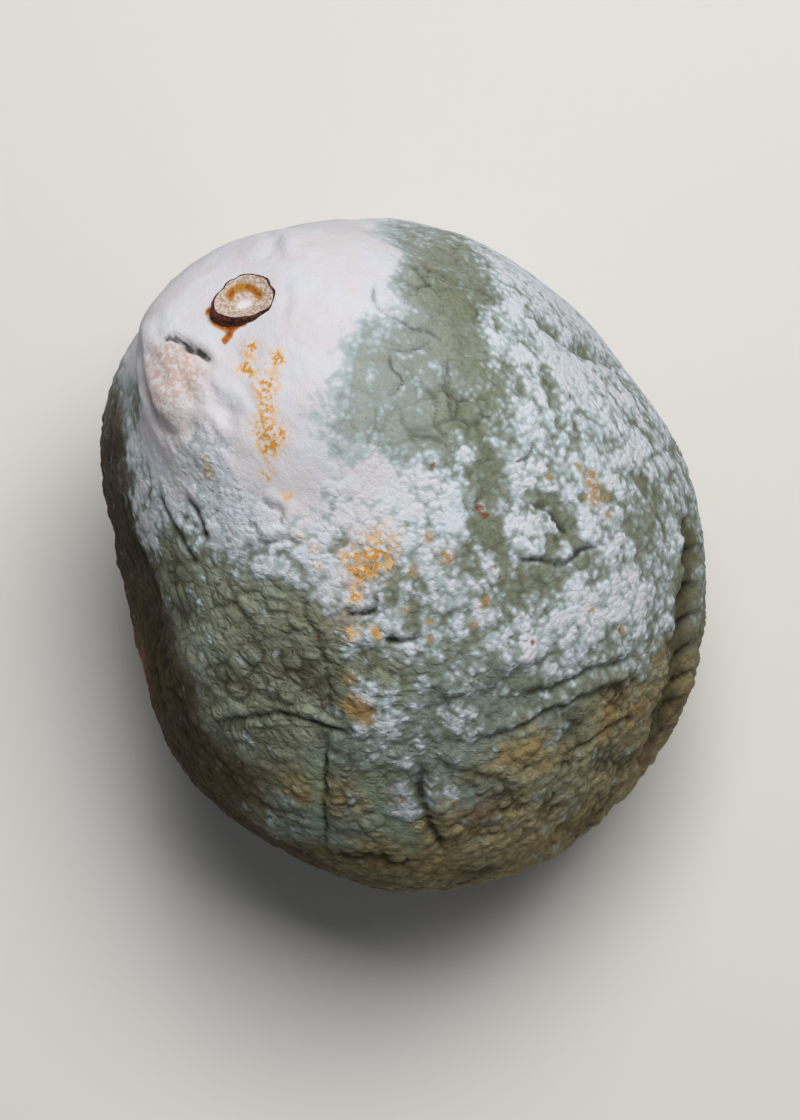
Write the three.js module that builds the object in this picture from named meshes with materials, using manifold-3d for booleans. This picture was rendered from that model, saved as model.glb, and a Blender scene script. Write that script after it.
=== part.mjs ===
// A lemon gone soft and mouldy: one whole fruit lying on the spot where it has sagged flat,
// with its neck tipped up, and the woody button where its stalk broke off.
//
// Millimetres, +Z up. The table is Z = 0, and the origin is on it, straight under the fruit's middle.
// The fruit's core runs from the stem end, towards +X, to the blossom end, in the XZ plane.
//
// A place on the fruit is given by two angles seen from its middle, in degrees:
//   along   from the stem end (0) to the blossom end (180)
//   around  about the core, from the top (0) towards +Y (90)

import * as THREE from "three";
import { mergeVertices } from "three/addons/utils/BufferGeometryUtils.js";
import Module from "manifold-3d";

const wasm = await Module();
wasm.setup();

// ---- Driving dimensions ----

const fruit = {
  length: 73, // along the core, before the neck and the nipple are added
  width: 63.2, // side to side
  height: 59.2, // across the core, in the upright plane
  lean: 24, // how far the core tips up at the stem end, in degrees
  facets: 28, // squares along each edge of the cube that is rounded into the fruit
};

// The underside, pressed flat by the table.
const flatSpot = {
  press: 2.4, // how far the table pushes the underside up
  roll: 0.9, // height over which the skin rolls into the flat
};

// The thick neck at the stem end. It swells softly out of the fruit, except on one side,
// where it hangs over a fold in the skin. Reach and fade are in degrees about the neck's middle.
const neck = {
  along: 25,
  around: 10,
  soft: { rise: 3.6, reach: 25, fade: 8 },
  fold: { rise: 5.4, reach: 21, fade: 4 },
  foldBearing: 112, // the side the fold is on: 0 is away from the stem end, 90 is towards +Y
  foldStart: 12, // the extra height of the fold side grows up to here
};

// Bell-shaped swellings and hollows of a fruit that is collapsing from inside.
// Spread is in degrees and rise in millimetres.
const swellings = [
  { along: 171, around: 180, spread: 8, rise: 3.6 }, // nipple at the blossom end
  { along: 90, around: 180, spread: 28, rise: 3 }, // sagging underside
  { along: 30, around: 105, spread: 24, rise: 0.6 }, // left shoulder
  { along: 66, around: 84, spread: 24, rise: -4.5 }, // left waist
  { along: 102, around: 86, spread: 24, rise: 1.1 }, // left hip
  { along: 137, around: 52, spread: 24, rise: 1.7 }, // left tail
  { along: 145, around: -22, spread: 24, rise: -1.5 }, // right tail
  { along: 117, around: -73, spread: 24, rise: -0.8 }, // right hip
  { along: 72, around: -74, spread: 24, rise: -2.3 }, // right cheek
];

// The button: a woody disc with a hollowed face, on a root that goes into the neck.
const button = {
  seat: { along: 22, around: 7.2 }, // where it sits on the neck
  facing: { along: 43, around: -17 }, // which way its face looks
  widthBearing: 100, // which way its wide way runs, measured as for the fold
  width: 6.6, // the wide way
  oval: 0.8, // its narrow way over its wide way
  stand: 1, // how far the rim stands above the skin at the middle of the seat
  sunk: 1.2, // how far the disc is sunk into the skin there
  rim: 0.8, // width of the rim around the hollow
  hollow: 0.6, // depth of the hollow
  rootWidth: 4,
  rootDepth: 2.2, // below the disc
  segments: 40,
};

// How the button's outline is softened. Each is a share of the size it is multiplied by.
const softened = {
  rootTip: 0.8, // half-width at the end of the root
  rootTaper: 0.8, // depth at which the root starts to narrow
  foot: 0.9, // half-width at the disc's lower face
  footRise: 0.6, // depth at which the lower edge is back to full width
  shoulder: 0.55, // height up to which the side is straight
  rimOuter: 0.96, // half-width at the top of the rim
  rimInner: 0.6, // how far the top of the rim reaches in
  rimFall: 0.5, // how much of the hollow the rim's inner edge takes
  floor: 0.55, // half-width of the flat floor of the hollow
};

const seatGap = 0.3; // clearance between the button and the flesh around it

// ---- Places and directions: x along the core to the stem end, z to the fruit's own top ----

function direction({ along, around }) {
  const a = THREE.MathUtils.degToRad(along);
  const r = THREE.MathUtils.degToRad(around);
  return new THREE.Vector3(Math.cos(a), Math.sin(a) * Math.sin(r), Math.sin(a) * Math.cos(r));
}

function degreesApart(d, place) {
  return THREE.MathUtils.radToDeg(d.angleTo(direction(place)));
}

// The two directions square to a place: away from the stem end, and towards +Y.
function tangents({ along, around }) {
  const away = direction({ along: along + 90, around });
  const sideways = away.clone().cross(direction({ along, around }));
  return { away, sideways };
}

function bearing(d, place) {
  const { away, sideways } = tangents(place);
  return THREE.MathUtils.radToDeg(Math.atan2(d.dot(sideways), d.dot(away)));
}

// ---- The fruit ----

function ellipsoidRadius(d) {
  return 0.5 / Math.hypot(d.x / fruit.length, d.y / fruit.width, d.z / fruit.height);
}

// A flat-topped rise: full within its reach and gone beyond it. foldShare goes smoothly from
// 0 all round the soft side to 1 at the middle of the fold side.
function neckRise(d) {
  const off = degreesApart(d, neck);
  const turn = THREE.MathUtils.degToRad(bearing(d, neck) - neck.foldBearing);
  const foldShare = Math.max(0, Math.cos(turn)) ** 2;
  const mix = (key, share) => THREE.MathUtils.lerp(neck.soft[key], neck.fold[key], share);
  const rise = mix("rise", foldShare * Math.min(1, off / neck.foldStart));
  const edge = Math.tanh((off - mix("reach", foldShare)) / mix("fade", foldShare));
  return (rise * (1 - edge)) / 2;
}

function swellingRise(d) {
  const rises = swellings.map((s) => s.rise * Math.exp(-((degreesApart(d, s) / s.spread) ** 2)));
  return rises.reduce((sum, rise) => sum + rise, 0);
}

function skinPoint(d) {
  return d.clone().multiplyScalar(ellipsoidRadius(d) + neckRise(d) + swellingRise(d));
}

// Moves every corner of a shape.
function reshape(geometry, move) {
  const corners = geometry.getAttribute("position");
  const point = new THREE.Vector3();
  for (let i = 0; i < corners.count; i += 1) {
    point.fromBufferAttribute(corners, i);
    corners.setXYZ(i, ...move(point));
  }
  return geometry;
}

// Turns the core from level to its lean.
const tipUp = new THREE.Matrix4().makeRotationY(THREE.MathUtils.degToRad(-fruit.lean));

// Skin that would be below the table lies on it, and skin just above it rolls down to meet it.
function flattened(p) {
  const { roll } = flatSpot;
  const nearTable = (p.z + roll) ** 2 / (4 * roll);
  const height = Math.abs(p.z) < roll ? nearTable : Math.max(0, p.z);
  return new THREE.Vector3(p.x, p.y, height);
}

// A cube rounded into the fruit, tipped up and set down on the table.
function wholeFruit() {
  const n = fruit.facets;
  const roundOff = (t) => Math.tan((t * Math.PI) / 4);
  const tipped = reshape(new THREE.BoxGeometry(2, 2, 2, n, n, n), (p) => {
    const d = new THREE.Vector3(roundOff(p.x), roundOff(p.y), roundOff(p.z)).normalize();
    return skinPoint(d).applyMatrix4(tipUp);
  });
  tipped.computeBoundingBox();
  const middleHeight = -tipped.boundingBox.min.z - flatSpot.press;
  return { skin: reshape(tipped.translate(0, 0, middleHeight), flattened), middleHeight };
}

// ---- The button ----

// Outline points are [distance from the axis, height above the skin at the middle of the seat].
// The button's runs from the bottom of the root, up the outside, to the middle of the face.
function buttonOutline() {
  const disc = button.width / 2;
  const root = button.rootWidth / 2;
  const face = button.stand - button.hollow;
  return [
    [0, -button.sunk - button.rootDepth],
    [root * softened.rootTip, -button.sunk - button.rootDepth],
    [root, -button.sunk - button.rootDepth * softened.rootTaper],
    [root, -button.sunk],
    [disc * softened.foot, -button.sunk],
    [disc, -button.sunk * softened.footRise],
    [disc, button.stand * softened.shoulder],
    [disc * softened.rimOuter, button.stand],
    [disc - button.rim * softened.rimInner, button.stand],
    [disc - button.rim, button.stand - button.hollow * softened.rimFall],
    [disc * softened.floor, face],
    [0, face],
  ];
}

// The hole for the button, open at the top: the disc and the root, each with the clearance.
function socketOutline() {
  const disc = button.width / 2 + seatGap;
  const root = button.rootWidth / 2 + seatGap;
  const ledge = -button.sunk - seatGap;
  const clearOfSkin = button.width;
  return [
    [0, ledge - button.rootDepth],
    [root, ledge - button.rootDepth],
    [root, ledge],
    [disc, ledge],
    [disc, clearOfSkin],
    [0, clearOfSkin],
  ];
}

// Spins an outline about its axis and draws it in to an oval.
function spinOval(outline, oval) {
  const points = outline.map(([across, up]) => new THREE.Vector2(across, up));
  return new THREE.LatheGeometry(points, button.segments).scale(1, 1, oval);
}

// Stands a spun shape in the seat: its axis along the facing, its wide way on the width bearing.
function setInSeat(spun, middleHeight) {
  const facing = direction(button.facing);
  const { away, sideways } = tangents(button.facing);
  const turn = THREE.MathUtils.degToRad(button.widthBearing);
  const wide = away.multiplyScalar(Math.cos(turn)).addScaledVector(sideways, Math.sin(turn));
  const narrow = wide.clone().cross(facing);
  const seat = new THREE.Matrix4().makeBasis(wide, facing, narrow);
  seat.setPosition(skinPoint(direction(button.seat)));
  return spun.applyMatrix4(tipUp.clone().multiply(seat)).translate(0, 0, middleHeight);
}

// ---- Solids and meshes ----

function solid(geometry) {
  const bare = geometry.clone();
  bare.deleteAttribute("normal");
  bare.deleteAttribute("uv");
  const merged = mergeVertices(bare);
  const index = merged.getIndex().array;
  const triangles = [];
  for (let i = 0; i < index.length; i += 3) {
    const [a, b, c] = index.slice(i, i + 3);
    if (a !== b && b !== c && c !== a) {
      triangles.push(a, b, c);
    }
  }
  return new wasm.Manifold(
    new wasm.Mesh({
      numProp: 3,
      vertProperties: Float32Array.from(merged.getAttribute("position").array),
      triVerts: Uint32Array.from(triangles),
    }),
  );
}

function meshOf(body, name, surface) {
  const { vertProperties, triVerts } = body.getMesh();
  const geometry = new THREE.BufferGeometry();
  geometry.setAttribute("position", new THREE.BufferAttribute(vertProperties, 3));
  geometry.setIndex(new THREE.BufferAttribute(triVerts, 1));
  geometry.computeVertexNormals();
  const mesh = new THREE.Mesh(geometry, new THREE.MeshStandardMaterial(surface));
  mesh.name = name;
  return mesh;
}

const { skin, middleHeight } = wholeFruit();
const socketOval = (button.width * button.oval + 2 * seatGap) / (button.width + 2 * seatGap);
const buttonBody = solid(setInSeat(spinOval(buttonOutline(), button.oval), middleHeight));
const socket = solid(setInSeat(spinOval(socketOutline(), socketOval), middleHeight));

const lemon = new THREE.Group();
lemon.name = "mouldy_lemon";
lemon.add(
  meshOf(solid(skin).subtract(socket), "fruit", { color: 0xa7ada2, roughness: 0.95, metalness: 0 }),
  meshOf(buttonBody, "stem_button", { color: 0x8a5a35, roughness: 0.8, metalness: 0 }),
);

export default lemon;
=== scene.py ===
"""A lemon gone soft and mouldy, lying on its sagged underside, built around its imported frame.

A place on the fruit is two angles seen from its middle, in degrees: along, from the stem end (0)
to the blossom end (180), and around, about the core from the top (0) towards +Y (90).
Sizes are in millimetres until a mesh is made.
"""

import bpy
import numpy as np
from mathutils import Matrix, Vector


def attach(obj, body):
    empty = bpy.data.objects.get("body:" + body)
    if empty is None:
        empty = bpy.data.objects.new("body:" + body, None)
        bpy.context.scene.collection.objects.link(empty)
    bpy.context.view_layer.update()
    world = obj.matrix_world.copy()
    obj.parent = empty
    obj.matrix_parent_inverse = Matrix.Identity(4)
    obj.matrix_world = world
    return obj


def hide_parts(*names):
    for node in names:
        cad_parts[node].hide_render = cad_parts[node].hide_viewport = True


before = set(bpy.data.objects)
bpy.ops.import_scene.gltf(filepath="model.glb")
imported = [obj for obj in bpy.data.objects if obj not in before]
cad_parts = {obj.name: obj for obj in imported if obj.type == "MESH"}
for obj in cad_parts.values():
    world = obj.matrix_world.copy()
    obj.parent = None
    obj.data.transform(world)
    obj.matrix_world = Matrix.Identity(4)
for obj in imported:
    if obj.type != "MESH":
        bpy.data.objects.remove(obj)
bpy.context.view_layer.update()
MM = 0.001

# ---- The fruit's driving dimensions ----

LENGTH = 73.0  # along the core
WIDTH = 63.2  # side to side
HEIGHT = 59.2  # across the core, in the upright plane
LEAN = 24.0  # how far the core tips up at the stem end, in degrees
FLAT_PRESS = 2.4  # how far the table pushes the underside up
FLAT_ROLL = 0.9  # height over which the skin rolls into the flat

# The thick neck at the stem end. Rise is in millimetres; reach and fade are in degrees about its
# middle, on its soft side and on the side that hangs over a fold.
NECK = (25, 10)
NECK_SOFT = {"rise": 3.6, "reach": 25.0, "fade": 8.0}
NECK_FOLD = {"rise": 5.4, "reach": 21.0, "fade": 4.0}
FOLD_BEARING = 112.0  # the side the fold is on: 0 is away from the stem end, 90 is towards +Y
FOLD_START = 12.0  # the extra height of the fold side grows up to here, in degrees

# Broad swellings and hollows: along, around, spread in degrees, rise in millimetres.
SWELLINGS = [
    (171, 180, 8, 3.6),  # nipple at the blossom end
    (90, 180, 28, 3.0),  # sagging underside
    (30, 105, 24, 0.6),  # left shoulder
    (66, 84, 24, -4.5),  # left waist
    (102, 86, 24, 1.1),  # left hip
    (137, 52, 24, 1.7),  # left tail
    (145, -22, 24, -1.5),  # right tail
    (117, -73, 24, -0.8),  # right hip
    (72, -74, 24, -2.3),  # right cheek
]

# The woody button in the neck.
BUTTON_SEAT = (22, 7.2)
BUTTON_FACING = (43, -17)  # which way its face looks
BUTTON_WIDTH_BEARING = 100.0  # which way its wide way runs, measured as for the fold
BUTTON_WIDTH = 6.6  # the wide way
BUTTON_OVAL = 0.8  # its narrow way over its wide way
BUTTON_STAND = 1.0  # how far its rim stands above the skin at the middle of the seat
BUTTON_CLEAR = 4.0  # distance over which the relief of the skin dies out towards the button
BUTTON_TURNS = 160  # corners round its outline
BUTTON_RINGS = 64  # steps along its section
# Its section from the middle of its face to its foot: share of the radius, height over the face
# of the rim, and how much bark there is.
BUTTON_SECTION = [
    (0.00, -0.50, 0.0), (0.30, -0.52, 0.0), (0.55, -0.42, 0.0), (0.74, -0.18, 0.0),
    (0.84, -0.04, 0.0), (0.90, 0.02, 0.1), (0.94, 0.02, 0.9), (0.99, -0.06, 1.0), (1.02, -0.25, 1.0),
    (1.00, -0.60, 1.0), (1.03, -1.00, 1.0), (0.99, -1.50, 1.0), (1.00, -2.20, 1.0),
    (0.60, -2.50, 1.0), (0.00, -2.50, 1.0),
]

GRID = 127  # squares along each edge of the cube that is rounded into the fruit
TOP_PULL = 0.70  # how much finer the squares are on top than at the middle height


# ---- Places, directions and soft steps ----


def direction(along, around):
    """Unit vector of a place: (cos along, sin along sin around, sin along cos around)."""
    a, r = np.radians(along), np.radians(around)
    return np.array([np.cos(a), np.sin(a) * np.sin(r), np.sin(a) * np.cos(r)])


def degrees_apart(d, place):
    """Angle between directions and a place: arc cosine of their dot product."""
    return np.degrees(np.arccos(np.clip(d @ direction(*place), -1, 1)))


def tangents(along, around):
    """The two directions square to a place: away from the stem end, and towards +Y."""
    away = direction(along + 90, around)
    return away, np.cross(away, direction(along, around))


def bearing(d, place):
    """Angle about a place: 0 away from the stem end, 90 towards +Y."""
    away, sideways = tangents(*place)
    return np.degrees(np.arctan2(d @ sideways, d @ away))


def smooth(low, high, value):
    """Soft step: 0 below low, 1 above high, 3t^2 - 2t^3 between."""
    t = np.clip((value - low) / (high - low), 0, 1)
    return t * t * (3 - 2 * t)


def bell(value):
    """Bell curve exp(-value^2)."""
    return np.exp(-value * value)


def mix(a, b, share):
    """a where share is 0, b where it is 1."""
    return a + (b - a) * share


# ---- Noise in space ----

# Each pattern on the fruit has a seed of its own, so that no two are alike.
HASH_STEPS = (374761393, 668265263, 2147483647)  # keep neighbouring cells apart
HASH_SEED = 974711
HASH_STIR = 1274126177
HASH_TOP = 0x7FFFFFFF
CELL_MARGIN = 0.15  # how far a scattered point keeps from its cell's sides, in cell sizes
FAR_OFF = 1e9  # a distance that anything found is nearer than


def scatter(cell, seed):
    """A repeatable number from 0 to 1 for each whole-number cell (integer hash)."""
    c = cell.astype(np.int64)
    h = c[..., 0] * HASH_STEPS[0] + c[..., 1] * HASH_STEPS[1] + c[..., 2] * HASH_STEPS[2]
    h = h + seed * HASH_SEED
    h = (h ^ (h >> 13)) * HASH_STIR & HASH_TOP
    h = (h ^ (h >> 16)) * HASH_STEPS[1] & HASH_TOP
    return (h ^ (h >> 15)) / float(HASH_TOP)


def waves(points, size, seed):
    """Value noise from -1 to 1: cell-corner numbers blended smoothly across cells of a size."""
    q = points / size
    base = np.floor(q)
    t = q - base
    t = t * t * (3 - 2 * t)
    total = np.zeros(len(points))
    for corner in np.ndindex(2, 2, 2):
        c = np.array(corner)
        weight = np.prod(np.where(c == 1, t, 1 - t), axis=1)
        total += weight * scatter(base + c, seed)
    return total * 2 - 1


def rough(points, size, seed, layers=3):
    """Layered noise: each layer is half the size and strength of the one before."""
    total = np.zeros(len(points))
    for k in range(layers):
        total += waves(points, size / 2**k, seed + 17 * k) / 2**k
    return total / (2 - 0.5 ** (layers - 1))


def wobble(points, size, seed, layers):
    """Three layered noises at each point, as a vector that shakes a pattern out of true."""
    return np.stack([rough(points, size, seed + k, layers) for k in range(3)], axis=1)


def cells(points, size, seed):
    """Cell pattern: distances to the nearest and second-nearest scattered point, in cell sizes,
    and a number for the nearest one."""
    q = points / size
    base = np.floor(q)
    near = np.full(len(points), FAR_OFF)
    second = near.copy()
    label = np.zeros(len(points))
    for step in np.ndindex(3, 3, 3):
        c = base + (np.array(step) - 1)
        spot = np.stack([scatter(c, seed + k) for k in (0, 1, 2)], axis=1)
        dist = np.linalg.norm(c + CELL_MARGIN + (1 - 2 * CELL_MARGIN) * spot - q, axis=1)
        closer = dist < near
        second = np.where(closer, near, np.minimum(second, dist))
        label = np.where(closer, scatter(c, seed + 3), label)
        near = np.where(closer, dist, near)
    return near, second, label


# ---- The fruit's body ----


def neck_rise(d):
    """Flat-topped rise with a tanh edge; taller and sharper on the side that hangs over a fold."""
    off = degrees_apart(d, NECK)
    share = np.clip(np.cos(np.radians(bearing(d, NECK) - FOLD_BEARING)), 0, 1) ** 2
    reach = mix(NECK_SOFT["reach"], NECK_FOLD["reach"], share)
    fade = mix(NECK_SOFT["fade"], NECK_FOLD["fade"], share)
    rise = mix(NECK_SOFT["rise"], NECK_FOLD["rise"], share * np.minimum(1, off / FOLD_START))
    return rise * (1 - np.tanh((off - reach) / fade)) / 2


def body_radius(d):
    """Ellipsoid radius, plus the neck, plus a bell for each swelling."""
    r = 0.5 / np.linalg.norm(d / [LENGTH, WIDTH, HEIGHT], axis=-1) + neck_rise(d)
    for along, around, spread, rise in SWELLINGS:
        r = r + rise * bell(degrees_apart(d, (along, around)) / spread)
    return r


def tip_up(v, lean=LEAN):
    """Turns about Y from level to a lean: x cos - z sin and x sin + z cos."""
    a = np.radians(lean)
    x, y, z = v[..., 0], v[..., 1], v[..., 2]
    return np.stack([x * np.cos(a) - z * np.sin(a), y, x * np.sin(a) + z * np.cos(a)], axis=-1)


def settle(points):
    """Skin below the table lies on it; just above, it rolls down: (z + roll)^2 / (4 roll)."""
    z = points[:, 2]
    rolled = (z + FLAT_ROLL) ** 2 / (4 * FLAT_ROLL)
    z = np.where(np.abs(z) < FLAT_ROLL, rolled, np.maximum(z, 0))
    return np.column_stack([points[:, 0], points[:, 1], z])


def rounded_cube(n):
    """Unit directions over a cube's six faces, each face a grid of (tan u, tan v) pushed out to
    the sphere, with the shared edges merged; returned with the four-cornered faces."""
    t = np.tan(np.linspace(-1, 1, n + 1) * np.pi / 4)
    u, v = np.meshgrid(t, t, indexing="ij")
    corner = np.arange((n + 1) ** 2).reshape(n + 1, n + 1)
    quads = np.stack([corner[:-1, :-1], corner[1:, :-1], corner[1:, 1:], corner[:-1, 1:]], axis=-1)
    points = []
    faces = []
    for side in (1, -1):
        for axis in range(3):
            p = np.stack([np.full_like(u, side), u * side, v], axis=-1).reshape(-1, 3)
            points.append(np.roll(p, axis, axis=1))
            faces.append(quads.reshape(-1, 4) + len(faces) * (n + 1) ** 2)
    points = np.concatenate(points)
    faces = np.concatenate(faces)
    keys = np.round(points * 1e6).astype(np.int64)
    _, first, merged = np.unique(keys, axis=0, return_index=True, return_inverse=True)
    points = points[first]
    return points / np.linalg.norm(points, axis=1, keepdims=True), merged.reshape(-1)[faces]


def pull_to_top(d, k):
    """Draws directions towards +Z so that tan(polar angle / 2) shrinks by k: squares stay square
    and come closer together on top."""
    across = np.hypot(d[:, 0], d[:, 1])
    half = np.arctan2(across, d[:, 2]) / 2
    polar = 2 * np.arctan2(k * np.sin(half), np.cos(half))
    flat = d[:, :2] / np.maximum(across, 1e-12)[:, None]
    return np.column_stack([flat * np.sin(polar)[:, None], np.cos(polar)])


# ---- Lines drawn on the fruit ----


def on_body(places):
    """Points on the smooth body for a list of places."""
    d = np.array([direction(*place) for place in places])
    return d * body_radius(d)[:, None]


def curve_through(places, steps=6):
    """A smooth line through places: Catmull-Rom between the body points, a few steps each."""
    p = on_body(places)
    p = np.concatenate([[2 * p[0] - p[1]], p, [2 * p[-1] - p[-2]]])
    t = np.linspace(0, 1, steps, endpoint=False)[:, None]
    parts = []
    for a, b, c, e in zip(p[:-3], p[1:-2], p[2:-1], p[3:]):
        bend = (2 * a - 5 * b + 4 * c - e) * t**2 + (3 * b - a - 3 * c + e) * t**3
        parts.append(b + 0.5 * ((c - a) * t + bend))
    return np.concatenate(parts + [p[-2:-1]])


def along_line(points, places):
    """For each point: how far the line is, signed + on its left as seen from outside, how far
    along it that is, and the same as a share of its length."""
    line = curve_through(places)
    steps = np.linalg.norm(np.diff(line, axis=0), axis=1)
    starts = np.concatenate([[0], np.cumsum(steps)])
    best = np.full(len(points), FAR_OFF)
    side = np.ones(len(points))
    run = np.zeros(len(points))
    for a, b, start, step in zip(line[:-1], line[1:], starts, steps):
        ab = (b - a) / step
        t = np.clip((points - a) @ ab, 0, step)
        off = points - a - t[:, None] * ab
        dist = np.linalg.norm(off, axis=1)
        closer = dist < best
        left = np.sign(off @ np.cross(a / np.linalg.norm(a), ab))
        best = np.where(closer, dist, best)
        side = np.where(closer, left, side)
        run = np.where(closer, start + t, run)
    return best * side, run, run / starts[-1]


def ends_fade(share, fade=0.18):
    """1 along the middle of a line, easing to 0 at its two ends."""
    return smooth(0, fade, share) * smooth(1, 1 - fade, share)


# ---- What grows where ----

# Patches of each kind of skin: along, around, spread in degrees.
PATCHES = {
    "cotton": [
        (14, 30, 18), (20, -30, 12), (27, 10, 14), (37, 15, 9), (31, 34, 8), (45, 9, 7), (51, 10, 6),
        (50, 22, 4), (20, 70, 6), (12, 180, 20), (27, -110, 16), (31, -12, 9), (27, -40, 6),
    ],
    "sage": [
        (46, -8, 6), (44, -18, 6), (50, -12, 5), (46, -26, 5), (48, 0, 3), (40, -38, 4),
    ],
    "green": [
        (32, -84, 7), (34, -66, 7), (40, -50, 7), (46, -40, 6), (52, -31, 5), (58, -25, 5),
        (67, -20, 3.5), (75, -15, 3),
    ],
    "clumps": [
        (53, -72, 11), (63, -55, 12), (62, -38, 8), (77, -49, 12), (93, -52, 11), (72, -31, 8),
        (62, -14, 6), (75, -24, 8), (95, -34, 11), (106, -36, 9), (98, -20, 8), (84, -6, 8),
        (72, -3, 8), (110, -26, 6), (104, -12, 5), (116, -60, 7), (44, -76, 8), (78, -88, 18),
        (52, -112, 16), (100, -95, 14), (62, -150, 16), (40, -140, 14), (92, -3, 6), (81, 8, 5),
        (69, 8, 6), (66, 20, 5), (60, 25, 5), (54, 30, 5), (48, 36, 5), (43, 33, 5), (40, 45, 6),
        (34, 68, 5), (43, 57, 6), (46, 66, 5), (53, 44, 4), (60, 6, 6), (63, -48, 8), (74, 22, 4),
        (79, 16, 3),
    ],
    "scales": [
        (60, 54, 6), (63, 42, 6), (71, 50, 8), (68, 33, 5), (80, 42, 8), (79, 31, 6), (91, 38, 8),
        (89, 50, 7), (98, 50, 6), (82, 23, 4), (90, 16, 4), (100, 150, 22), (70, 165, 14),
    ],
    "film": [
        (93, 25, 4), (102, 29, 5), (109, 24, 6), (100, 11, 6), (102, 1, 6), (108, 11, 6),
        (119, 31, 4), (114, -4, 5), (123, -9, 5), (96, 5, 5), (111, -18, 4), (118, -30, 4),
    ],
    "ochre": [
        (119, 3, 4), (125, -17, 6), (127, -29, 7), (135, -4, 9), (122, 12, 6), (128, 24, 7),
        (140, 20, 12), (150, -5, 12), (112, 45, 7), (113, 59, 6), (126, 48, 9), (138, 39, 10),
        (150, -36, 10), (138, -34, 8), (160, 70, 18), (163, -100, 18), (135, -120, 16),
        (150, 150, 16),
    ],
    "dusty": [
        (30, 64, 5), (36, 88, 9), (50, 95, 12), (57, 84, 6), (69, 95, 10), (77, 84, 9), (88, 74, 8),
        (98, 75, 8), (108, 77, 9), (105, 62, 6), (119, 74, 9), (104, 104, 16), (132, 92, 15),
        (62, 122, 16), (40, 150, 14), (128, 62, 8), (140, 50, 8),
    ],
    "rind": [(85, 98, 5), (92, 101, 4), (79, 96, 3), (76, 140, 7), (112, 172, 9), (125, -165, 8)],
}

# The bare colour of each kind of skin, and a darker colour down in its creases, which is painted shade.
GROUND = {
    "cotton": ((186, 182, 184), (150, 134, 128)),
    "sage": ((158, 168, 160), (108, 116, 102)),
    "green": ((134, 141, 122), (70, 74, 56)),
    "clumps": ((136, 142, 126), (96, 98, 78)),
    "scales": ((162, 168, 148), (84, 84, 66)),
    "film": ((140, 148, 134), (72, 76, 62)),
    "ochre": ((172, 160, 120), (76, 63, 44)),
    "dusty": ((88, 75, 54), (44, 35, 23)),
    "rind": ((150, 94, 62), (84, 52, 34)),
}

# How much white mould lies on each kind of skin, from none to a full coat.
COAT = {
    "cotton": 1.05,
    "sage": 0.36,
    "green": 0.14,
    "clumps": 0.80,
    "scales": 0.26,
    "film": 0.47,
    "ochre": 0.14,
    "dusty": 0.09,
    "rind": 0.05,
}
THINNING = 0.0065  # how much the coat of clumps thins for each degree towards the blossom end
THINNING_FROM = 74.0  # degrees along

# Colours that run over the bare skin.
PALE_GREEN = (150, 176, 156)  # along the pleats
GOLDEN = (172, 147, 98)  # drifts over the ochre skin
MAUVE = (118, 98, 82)  # and duller ones between them
BLUE_GREY = (122, 146, 142)  # smears of film over the ochre skin
# The sunken seam's colours: a dark brown that is partly its own colour and partly painted shade, and
# painted shade down between the puckers.
SEAM_BROWN_AND_SHADE = (92, 86, 64)
SEAM_SHADE = (34, 29, 18)  # down between the puckers


def linear(rgb):
    """Screen colour 0 to 255 as linear light, by the power 2.2."""
    return (np.array(rgb) / 255.0) ** 2.2


def skin_shares(d, p):
    """Share of each kind of skin at each point, adding to 1. Each patch is a bell, and the
    places are first shaken by noise so that the borders are ragged."""
    ragged = d + wobble(p, 7.0, 40, 4) * 0.13
    ragged /= np.linalg.norm(ragged, axis=1, keepdims=True)
    strength = {}
    for kind, patches in PATCHES.items():
        bells = [bell(degrees_apart(ragged, patch[:2]) / patch[2]) for patch in patches]
        strength[kind] = sum(bells) ** 0.85 + 1e-6
    total = sum(strength.values())
    return {kind: value / total for kind, value in strength.items()}


# ---- Relief ----

ROWS = np.array([-0.84, -0.54, -0.04])  # the way rows of scales run, as the fruit lies
WRINKLES = np.array([-0.72, -0.69, 0.06])  # the way wrinkles run round the blossom half

# How wide each thing in the relief is.
SCALE_SIZE = 1.65
PEBBLE_SIZE = 0.85
WRINKLE_SIZE = 1.2
BIG_CLUMP_SIZE = 1.9
SMALL_CLUMP_SIZE = 0.95
PLATE_SIZE = 2.6


def stretched(points, way, by):
    """Space squeezed along one direction, so that patterns in it come out longer that way."""
    w = way / np.linalg.norm(way)
    return points - (points @ w)[:, None] * w * (1 - 1 / by)


def scale_relief(world):
    """Leathery scales: low domes in rows, parted by furrows, under finer pebbles and on a lumpy
    ground. Also how much painted shade each point gets, from how deep in a furrow or hollow it lies."""
    bent = world + wobble(world, 4.0, 60, 3) * 1.1
    q = stretched(bent, ROWS, 1.6)
    near, second, label = cells(q, SCALE_SIZE, 3)
    furrow = 1 - smooth(0.0, 0.34, second - near)
    small, _, _ = cells(q, PEBBLE_SIZE, 9)
    lumpy = rough(q, 3.4, 65, 3)
    height = 0.16 * (1 - near**2) + 0.34 * (label - 0.5) - 0.22 * furrow * (0.4 + label)
    height += 0.20 * (1 - small**2) + 0.55 * lumpy
    return height, np.clip(0.55 * furrow * (0.3 + label) - 0.7 * lumpy + 0.1, 0, 1)


def wrinkle_relief(world):
    """Bumpy wrinkled rind: small domes in rows, over long soft ridges. Also how much painted shade
    each point gets, from how deep between them it lies."""
    bent = world + wobble(world, 5.0, 80, 3) * 1.3
    near, second, label = cells(stretched(bent, WRINKLES, 1.35), WRINKLE_SIZE, 5)
    furrow = 1 - smooth(0.0, 0.40, second - near)
    ridges = rough(stretched(bent, WRINKLES, 2.6), 2.6, 91, 3)
    height = 0.34 * (1 - near**2) + 0.26 * (label - 0.5) - 0.16 * furrow + 0.50 * ridges
    return height, np.clip(0.55 * furrow + 0.8 * smooth(0.1, -0.6, ridges) - 0.2, 0, 1)


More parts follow.
